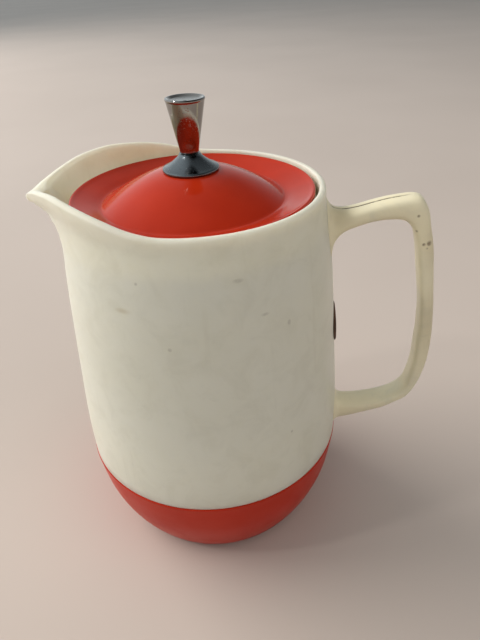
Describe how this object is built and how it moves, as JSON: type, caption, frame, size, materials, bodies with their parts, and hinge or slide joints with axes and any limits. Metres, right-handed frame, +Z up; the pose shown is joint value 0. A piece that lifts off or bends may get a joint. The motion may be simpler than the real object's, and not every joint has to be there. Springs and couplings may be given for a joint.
{
  "type": "insulated coffee pot",
  "caption": "Insulated plastic coffee pot with a beaked spout, a side handle, a contrasting base cup and a loose domed lid with a chromed knob.",
  "frame": {"origin": "on the ground, under the middle of the whole object's footprint box; the pot's own axis is 16.2 mm from it towards the spout", "axes": "+Z up along the pot's axis, +X towards the handle, -X towards the spout; the XZ plane is the plane of symmetry"},
  "size_m": [0.18, 0.128, 0.2095],
  "materials": {
    "cream_plastic": "ivory moulded plastic, satin gloss with fine scuffs and a few brown specks",
    "orange_plastic": "orange red moulded plastic, glossy on the lid and satin on the base",
    "chrome": "bright chromed metal, slightly pitted at the foot",
    "steel": "plain zinc plated steel",
    "foam": "rigid cellular foam, sealed inside",
    "plug_plastic": "dark brown plastic disc",
    "gasket_rubber": "grey silicone rubber"
  },
  "bodies": {
    "pot": {"outer_shell": "cream_plastic", "handle": "cream_plastic", "inner_liner": "cream_plastic", "insulation_sleeve": "foam", "insulation_pad": "foam", "base_cup": "orange_plastic", "fill_plug": "plug_plastic"},
    "gasket": {"lid_gasket": "gasket_rubber"},
    "lid": {"lid_cover": "orange_plastic", "lid_liner": "cream_plastic", "lid_insulation": "foam", "knob_foot": "chrome", "knob_stem": "chrome", "knob_screw": "steel", "screw_washer": "steel"}
  },
  "joints": [
    {"name": "lid_lift", "type": "slide", "parent": "pot", "child": "gasket", "axis": [0, 0, 1], "range_m": [0, 0.06]},
    {"name": "lid_turn", "type": "hinge", "parent": "gasket", "child": "lid", "pos_m": [-0.01674, 0, 0.1737], "axis": [0, 0, 1], "continuous": true}
  ]
}
